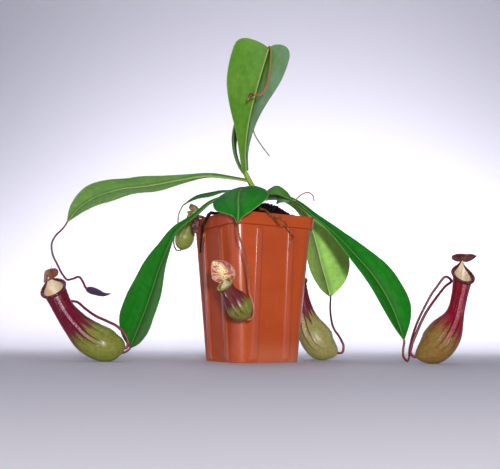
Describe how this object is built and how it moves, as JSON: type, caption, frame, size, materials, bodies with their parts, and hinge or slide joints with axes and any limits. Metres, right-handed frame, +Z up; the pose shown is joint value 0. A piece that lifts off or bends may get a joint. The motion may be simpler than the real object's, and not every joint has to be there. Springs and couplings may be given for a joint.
{
  "type": "potted nepenthes",
  "caption": "Tropical pitcher plant with arching leaves, curling tendrils and hollow lidded pitchers, growing in a square tapered plastic pot of soil.",
  "frame": {"origin": "middle of the underside of the pot, on the surface it stands on", "axes": "+Z up; the plant's front, with a corner of the pot towards it, faces -Y; +X is to the viewer's right"},
  "size_m": [0.4971, 0.1881, 0.3625],
  "materials": {
    "terracotta_plastic": "satin",
    "soil": "matte",
    "stem": "satin",
    "leaf": "satin",
    "leaf_light": "satin",
    "tendril": "satin",
    "pitcher_red": "satin",
    "pitcher_olive": "satin",
    "withered": "matte"
  },
  "bodies": {
    "root": {"pot": "terracotta_plastic", "soil": "soil", "stem": "stem", "leaf_top": "leaf_light", "leaf_young": "leaf_light", "leaf_left": "leaf", "leaf_lower_left": "leaf", "leaf_front": "leaf", "leaf_right": "leaf", "leaf_mid_right": "leaf", "leaf_short": "leaf_light", "leaf_small": "leaf", "tendril_top": "tendril", "tendril_young": "tendril", "tendril_left": "tendril", "tendril_lower_left": "tendril", "tendril_front": "tendril", "tendril_right": "tendril", "tendril_mid_right": "tendril", "tendril_short": "tendril", "tendril_small": "tendril", "strand_left": "withered", "bud_top": "withered", "bud_left": "withered", "pitcher_withered": "withered", "pitcher_left": "pitcher_red", "pitcher_right": "pitcher_red", "pitcher_back": "pitcher_olive", "pitcher_front": "pitcher_olive", "pitcher_small": "pitcher_olive", "root_right": "withered"}
  },
  "joints": []
}
